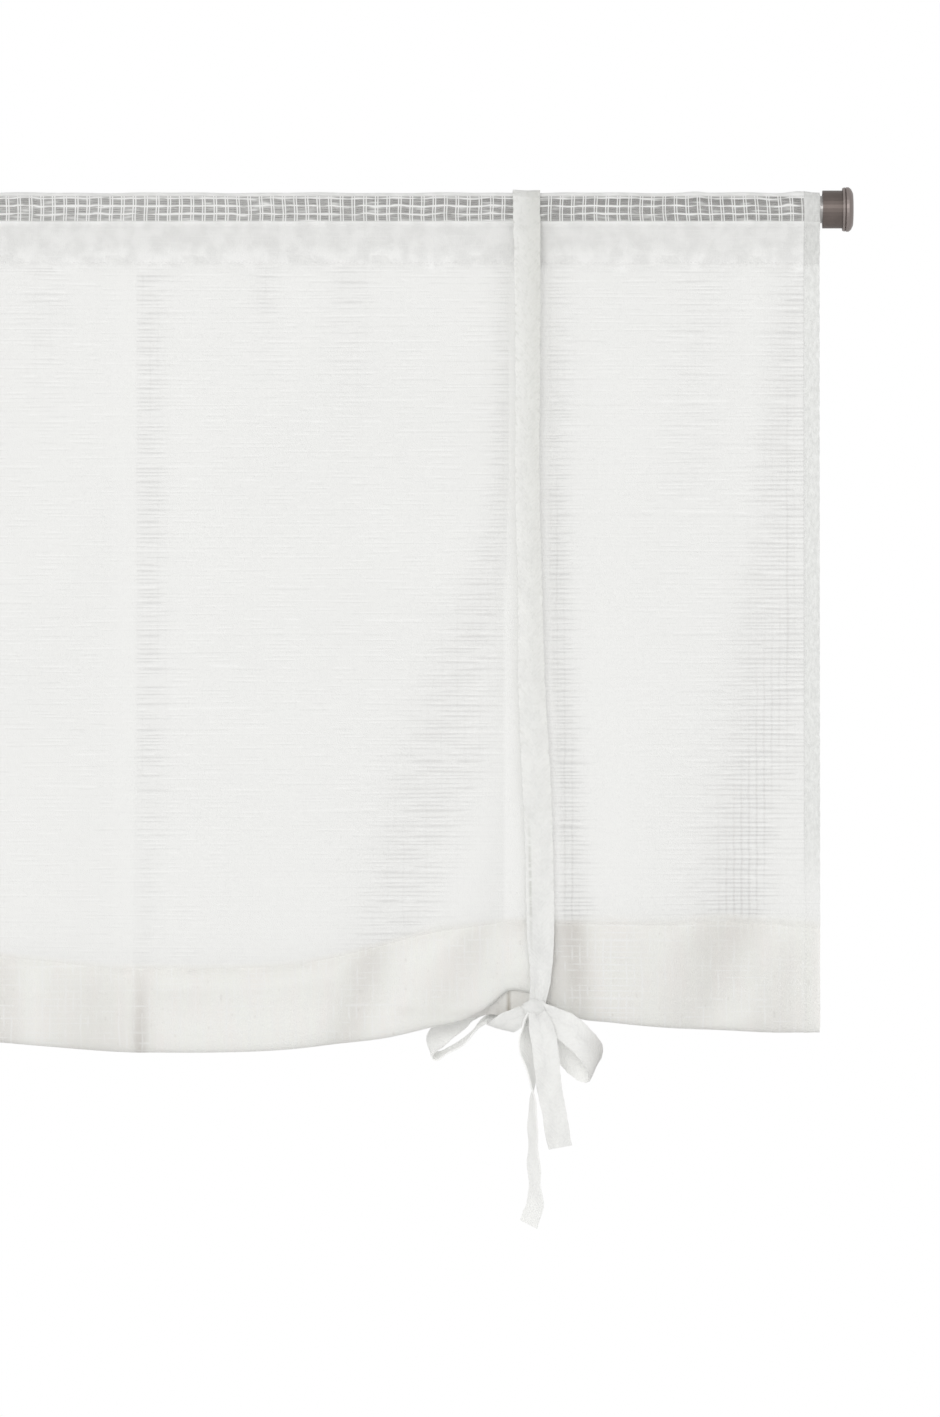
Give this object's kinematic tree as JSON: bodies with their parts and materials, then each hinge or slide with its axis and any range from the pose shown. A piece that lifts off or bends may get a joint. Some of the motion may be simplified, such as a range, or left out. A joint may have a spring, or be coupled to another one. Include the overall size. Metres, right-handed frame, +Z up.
{
  "type": "roll-up curtain with rod",
  "caption": "Sheer cloth curtain on a round rod with turned end caps, its lower end rolled up and held by flat fabric ties with bows.",
  "frame": {"origin": "on the rod's axis at the middle of the cloth's width", "axes": "+X along the rod to the right seen from the front, -Y out of the front, +Z up"},
  "size_m": [1.048, 0.0534, 0.759],
  "materials": {
    "cloth": "thin open slub weave, off-white",
    "tie_band": "doubled cloth band, off-white",
    "rod_metal": "satin grey",
    "cap_metal": "satin dark pewter"
  },
  "bodies": {
    "root": {"panel": "cloth", "tie_right": "tie_band", "tie_left": "tie_band", "rod": "rod_metal", "rod_cap_right": "cap_metal", "rod_cap_left": "cap_metal"}
  },
  "joints": []
}
